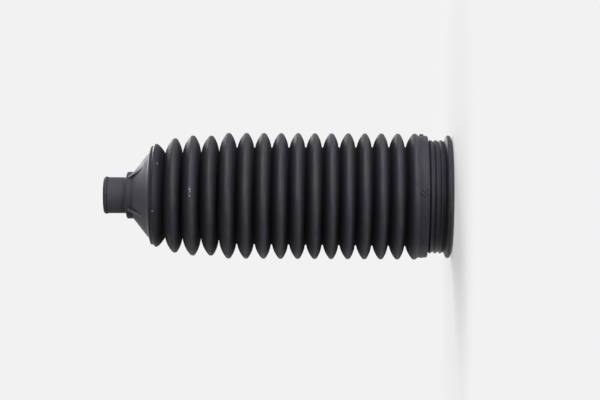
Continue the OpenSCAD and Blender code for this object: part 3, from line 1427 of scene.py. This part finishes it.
@dataclass(frozen=True)
class EndColourLightAndShade:
    """Colour of the plain band, bloom with painted light on the small end, and painted light and shade on
    the cone, the ring, the cuff, its bead and the gussets.

    The spans and stripes are in millimetres from the height at which a part starts: the collar's face
    for the bloom and its painted light and for the start of the cone's painted light, the ring for its end,
    and otherwise the part that the name gives. A level is what is left of a layer where the mottling breaks
    it up.
    """

    # Bloom on the small end, partly painted light that makes it paler
    bloom_and_light: Span = (-1.1, 0.5)
    bloom_and_light_level: float = 0.85
    # Painted light on the cone's face
    cone_light_start: Span = (-0.6, 1.1)
    cone_light_end: Span = (-0.1, -0.3)
    # Painted light that lightens the corner at the cone's foot and the fillet at the cuff's foot
    cone_corner_light: Stripe = Stripe(0.1, 0.9, share=0.3)
    cuff_fillet_light: Stripe = Stripe(0.1, 0.9, share=0.5)
    # Painted shade in the creases at the ring and at the bead's foot
    ring_crease: Stripe = Stripe(-0.1, 0.1, share=0.3)
    bead_crease: Stripe = Stripe(-0.1, 0.25, 0.35, 0.85)
    # Painted shade in ragged patches along the bead's rim
    bead_rim_shade: Cloud = Cloud(0.9, 3.0, 0.7, (0.42, 0.62))
    bead_rim_shade_rise: Span = (0.3, 0.8)
    bead_rim_shade_share: float = 0.8
    gussets: GussetLightAndShade = GussetLightAndShade()

    def colour(self, maps: RubberMaps, tint: RubberColours, colour: Wire) -> Wire:
        """Colours the two ends.

        Args:
            maps: The masks to work with.
            tint: The colours of the rubber.
            colour: The colour of the whole boot so far.

        Returns:
            The colour with the ends in it.
        """
        bench, height, boot = maps.bench, maps.height, maps.boot
        band = Stripe(boot.large.land_z, boot.large.top_z).over(height)
        colour = bench.mix(band, colour, tint.band)
        # Bloom over the small end, partly painted light that makes it paler, broken up by mottling
        bloom_and_light = maps.bloom_and_light * (self.bloom_and_light_level + maps.mottle * (1 - self.bloom_and_light_level))
        colour = bench.mix(bloom_and_light, colour, tint.bloom_and_light)
        # Painted light: the cone's face paler
        cone = height.ramp(*self.cone_light_start, boot.collar_z) * height.ramp(*self.cone_light_end, boot.ring_z)
        colour = bench.mix(cone, colour, tint.cone)
        # Painted highlight on the gussets' backs, and painted light that lightens the corner at the cone's
        # foot and the fillet at the cuff's foot
        gusset_highlights, corners = self.gussets.over(maps)
        painted_light = gusset_highlights.at_least(self.cone_corner_light.over(height, boot.cone_z))
        painted_light = painted_light.at_least(self.cuff_fillet_light.over(height, boot.cuff_z))
        colour = bench.mix(painted_light, colour, tint.painted_light)
        # Painted shade: ragged patches on the bead's rim, the creases at the bead and the ring, and the
        # corners at the gussets' feet
        ragged = self.bead_rim_shade.over(maps.place) * height.ramp(*self.bead_rim_shade_rise, boot.bead_z)
        shaded = self.bead_crease.over(height, boot.bead_z)
        shaded = shaded.at_least(self.ring_crease.over(height, boot.ring_z))
        shaded = shaded.at_least(corners).at_least(ragged * self.bead_rim_shade_share)
        return bench.mix(shaded, colour, tint.root)


@dataclass(frozen=True)
class Gloss:
    """How rough the rubber is: dull in its folds, satin on the tips of its crests."""

    roughness: float = 0.70
    tip_roughness: float = 0.40
    mottle_swing: float = 0.10
    slow_swing: float = 0.08
    scuff_rise: float = 0.08
    fleck_rise: float = 0.3
    dull: Span = (0.90, 0.25)
    tip: Span = (0.94, 1.0)
    tip_level: float = 0.75

    def over(self, maps: RubberMaps) -> Wire:
        """Lays the gloss over the rubber.

        Args:
            maps: The masks to work with.

        Returns:
            The roughness.
        """
        rough = self.roughness + (maps.mottle - 0.5) * self.mottle_swing
        rough = rough + (maps.slow - 0.5) * self.slow_swing
        rough = rough + maps.scuff * self.scuff_rise + maps.flecks * self.fleck_rise
        rough = rough + maps.pride.ramp(*self.dull) * (1 - self.roughness)
        tip = maps.pride.ramp(*self.tip) * (1 - maps.bloom_and_light)
        broken = self.tip_level + maps.streak * (1 - self.tip_level)
        return rough - tip * broken * (self.roughness - self.tip_roughness)


@dataclass(frozen=True)
class Grain:
    """The fine grain of the rubber and the slow waves in it, each with its height."""

    layers: tuple[tuple[Cloud, float], ...] = (
        (Cloud(0.28, 2.0), 0.012),
        (Cloud(2.4, 2.0), 0.03),
    )

    def over(self, maps: RubberMaps) -> Wire:
        """Lays the grain over the rubber.

        Args:
            maps: The masks to work with.

        Returns:
            The normal.
        """
        normal: Wire | None = None
        for cloud, height in self.layers:
            inputs = {"Strength": 1.0, "Distance": height * MM, "Height": cloud.over(maps.place)}
            if normal is not None:
                inputs["Normal"] = normal
            normal = maps.bench.node("ShaderNodeBump", None, inputs, "Normal")
        return normal


@dataclass(frozen=True)
class RubberFinish:
    """Satin charcoal rubber with a few flecks, a painted highlight and wear on its crests, painted shade in
    its roots and creases, and a small end made paler by bloom and painted light.
    """

    tint: RubberColours = RubberColours()
    mottle: Cloud = Cloud(5.5, 4.0, 0.55, (0.32, 0.68))
    slow: Cloud = Cloud(19.0, 2.0, span=(0.35, 0.65))
    streaks: Streaks = Streaks()
    scuff: Span = (0.72, 1.0)
    specks: Specks = Specks()
    folds: FoldColourLightAndShade = FoldColourLightAndShade()
    ends: EndColourLightAndShade = EndColourLightAndShade()
    gloss: Gloss = Gloss()
    grain: Grain = Grain()
    specular: float = 0.22
    specular_tint: Colour = (0.93, 0.93, 1.0, 1)

    def maps(self, bench: Bench, boot: RackBoot) -> RubberMaps:
        """Works out what the layers of the finish read.

        Args:
            bench: The material's tree.
            boot: The boot that it dresses.

        Returns:
            The places and the masks.
        """
        place = bench.node("ShaderNodeTexCoord", output="Object")
        x = bench.node("ShaderNodeSeparateXYZ", None, {0: place})
        turn = x.sibling("Y").turn_from(x)
        height = x.sibling("Z") * (1 / MM)
        pride = bench.node("ShaderNodeAttribute", {"attribute_name": PRIDE}, output="Fac")
        slow = self.slow.over(place)
        streak = self.streaks.over(turn, height)
        return RubberMaps(
            bench=bench,
            boot=boot,
            place=place,
            turn=turn,
            height=height,
            pride=pride,
            mottle=self.mottle.over(place),
            slow=slow,
            streak=streak,
            scuff=streak * pride.ramp(*self.scuff) * slow,
            bloom_and_light=height.ramp(*self.ends.bloom_and_light, boot.collar_z),
            flecks=self.specks.over(place, boot),
        )

    def make(self, boot: RackBoot) -> bpy.types.Material:
        """Makes the material.

        Args:
            boot: The boot that it dresses.

        Returns:
            The finished material.
        """
        material = bpy.data.materials.new("moulded_rubber")
        material.use_nodes = True
        bench = Bench(material.node_tree)
        maps = self.maps(bench, boot)
        colour = self.ends.colour(maps, self.tint, self.folds.colour(maps, self.tint))
        inputs = {
            "Base Color": bench.mix(maps.flecks, colour, self.tint.fleck),
            "Roughness": self.gloss.over(maps),
            "Specular IOR Level": self.specular,
            "Specular Tint": self.specular_tint,
            "Normal": self.grain.over(maps),
        }
        bench.output(bench.node("ShaderNodeBsdfPrincipled", None, inputs))
        return material


@dataclass(frozen=True)
class SoftBox:
    """One large soft lamp, aimed at the middle of the boot.

    A share of 1 lights a white surface that faces the lamp there to white.
    """

    name: str
    direction: tuple[float, float, float]
    distance: float
    size: tuple[float, float]
    share: float

    def build(self, target: Vector) -> None:
        """Hangs the lamp.

        Args:
            target: The point that it is aimed at.
        """
        lamp = bpy.data.lights.new(self.name, "AREA")
        lamp.shape = "RECTANGLE"
        lamp.size, lamp.size_y = self.size
        lamp.energy = self.share * math.pi**2 * self.distance**2
        made = bpy.data.objects.new(self.name, lamp)
        bpy.context.scene.collection.objects.link(made)
        back = Vector(self.direction).normalized()
        made.location = target + back * self.distance
        made.rotation_mode = "QUATERNION"
        made.rotation_quaternion = back.to_track_quat("Z", "X")


def grey(level: float) -> Colour:
    """A plain grey."""
    return (level, level, level, 1)


@dataclass
class Studio:
    """Pale floor, pale surround, soft lamps and the camera."""

    backdrop: float = 0.887
    ambient: float = 0.20
    floor_size: float = 60.0
    floor_albedo: float = 0.45
    shadow_fade: Span = (0.06, 0.20)
    boxes: tuple[SoftBox, ...] = (
        SoftBox("front_low_box", (0.254, -0.544, -0.537), 0.805, (0.3, 0.3), 0.52),
        SoftBox("front_box", (0.254, -0.544, -0.237), 0.645, (0.3, 0.3), 0.72),
        SoftBox("crown_box", (0.580, -0.200, -0.15), 0.645, (0.3, 0.3), 0.68),
        SoftBox("top_box", (0.15, -0.25, 0.95), 1.2, (0.4, 0.4), 0.10),
        SoftBox("table_box", (0.15, -0.35, -0.93), 1.2, (0.4, 0.4), 0.54),
        SoftBox("back_box", (0.25, 0.80, 0.60), 1.5, (0.9, 0.9), 1.15),
    )
    distance: float = 1.1
    focal_share: float = 3.667
    sensor: float = 36.0
    clip: Span = (0.05, 100)
    look_at: tuple[float, float, float] = (-0.00196, 0, 0.0757)
    yaw: float = 0.91
    roll: float = 0.29

    def camera_ray(self, bench: Bench) -> Wire:
        """1 for rays that show the background, and 0 for rays that light the object."""
        path = bench.node("ShaderNodeLightPath", output="Is Camera Ray")
        return path.at_least(path.sibling("Is Glossy Ray")).at_least(path.sibling("Is Transmission Ray"))

    def floor_light(self, middle: Vector) -> float:
        """How bright a white floor would be at the boot's foot if the boot threw no shadow.

        Args:
            middle: The point that the lamps are aimed at.

        Returns:
            The brightness, where 1 is white.
        """
        light = self.ambient
        for box in self.boxes:
            place = middle + Vector(box.direction).normalized() * box.distance
            if place.z > 0:
                facing = (place - middle).normalized().dot(place.normalized())
                light += box.share * box.distance**2 / place.length_squared * facing * place.normalized().z
        return light

    def floor_material(self, middle: Vector) -> bpy.types.Material:
        """Makes the floor's material.

        To the eye it is as pale as the surround, less the light that the boot's shadow takes from it. It
        lights the boot as a pale floor does. Lamps below it shine through it, as through a light table.

        Args:
            middle: The point that the lamps are aimed at.

        Returns:
            The material.
        """
        material = bpy.data.materials.new("pale_floor")
        material.use_nodes = True
        bench = Bench(material.node_tree)
        away = bench.measure("LENGTH", bench.node("ShaderNodeTexCoord", output="Object"))
        lit = bench.node("ShaderNodeBsdfDiffuse", None, {"Color": grey(self.floor_albedo)})
        base = grey(self.backdrop - self.floor_albedo * self.floor_light(middle))
        glow = bench.node("ShaderNodeEmission", None, {"Color": base, "Strength": 1.0})
        near = bench.node("ShaderNodeAddShader", None, {0: lit, 1: glow})
        far = bench.node("ShaderNodeEmission", None, {"Color": grey(self.backdrop), "Strength": 1.0})
        seen = bench.mix_shaders(away.ramp(*self.shadow_fade), near, far)
        solid = bench.mix_shaders(self.camera_ray(bench), lit, seen)
        clear = bench.node("ShaderNodeBsdfTransparent", None, {"Color": grey(1)})
        shadow_ray = bench.node("ShaderNodeLightPath", output="Is Shadow Ray")
        bench.output(bench.mix_shaders(shadow_ray, solid, clear))
        return material

    def build_floor(self, middle: Vector) -> None:
        """Lays the floor.

        Args:
            middle: The point that the lamps are aimed at.
        """
        half = self.floor_size / 2
        corners = [(-half, -half, 0), (half, -half, 0), (half, half, 0), (-half, half, 0)]
        mesh = bpy.data.meshes.new("floor")
        mesh.from_pydata(corners, [], [(0, 1, 2, 3)])
        mesh.materials.append(self.floor_material(middle))
        floor = place_object("floor", mesh)

    def build_surround(self) -> None:
        """Sets the world: pale to the eye, and dimmer as a light."""
        world = bpy.data.worlds.new("surround")
        bpy.context.scene.world = world
        world.use_nodes = True
        bench = Bench(world.node_tree)
        seen = bench.node("ShaderNodeBackground", None, {"Color": grey(self.backdrop), "Strength": 1.0})
        fill = bench.node("ShaderNodeBackground", None, {"Color": grey(1), "Strength": self.ambient})
        bench.output(bench.mix_shaders(self.camera_ray(bench), fill, seen), "ShaderNodeOutputWorld")

    def build_camera(self) -> None:
        """Sets the camera at the photograph's angle, turned on its side."""
        lens = bpy.data.cameras.new("camera")
        lens.sensor_width = self.sensor
        lens.lens = self.sensor * self.focal_share
        lens.clip_start, lens.clip_end = self.clip
        camera = bpy.data.objects.new("camera", lens)
        bpy.context.scene.collection.objects.link(camera)
        yaw, roll = math.radians(self.yaw), math.radians(self.roll)
        ahead = Vector((0, math.cos(yaw), math.sin(yaw)))
        level_right = Vector((0, math.sin(yaw), -math.cos(yaw)))
        level_up = Vector((1, 0, 0))
        right = level_right * math.cos(roll) + level_up * math.sin(roll)
        up = level_up * math.cos(roll) - level_right * math.sin(roll)
        turn = Matrix((right, up, -ahead)).transposed().to_4x4()
        camera.matrix_world = Matrix.Translation(Vector(self.look_at) - ahead * self.distance) @ turn
        bpy.context.scene.camera = camera

    def build(self) -> None:
        """Builds the whole studio."""
        bpy.context.scene.view_settings.view_transform = "Standard"
        middle = (CAD_BOX[0] + CAD_BOX[1]) / 2
        self.build_surround()
        self.build_floor(middle)
        for box in self.boxes:
            box.build(middle)
        self.build_camera()
        LOG.info("studio: %d lamps", len(self.boxes))


def main() -> None:
    """Builds the boot, its marks and the studio in order."""
    logging.basicConfig(level=logging.INFO, format="%(name)s: %(message)s")
    boot = RackBoot()
    skin = boot.build()
    marks = MouldMarks(boot).build()
    rubber = RubberFinish().make(boot)
    for piece in (skin, marks):
        piece.data.materials.append(rubber)
        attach(piece, BODY)
        LOG.info("piece %s rides on %s", piece.name, BODY)
    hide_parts(NODE)
    Studio().build()


if __name__ == "__main__":
    main()
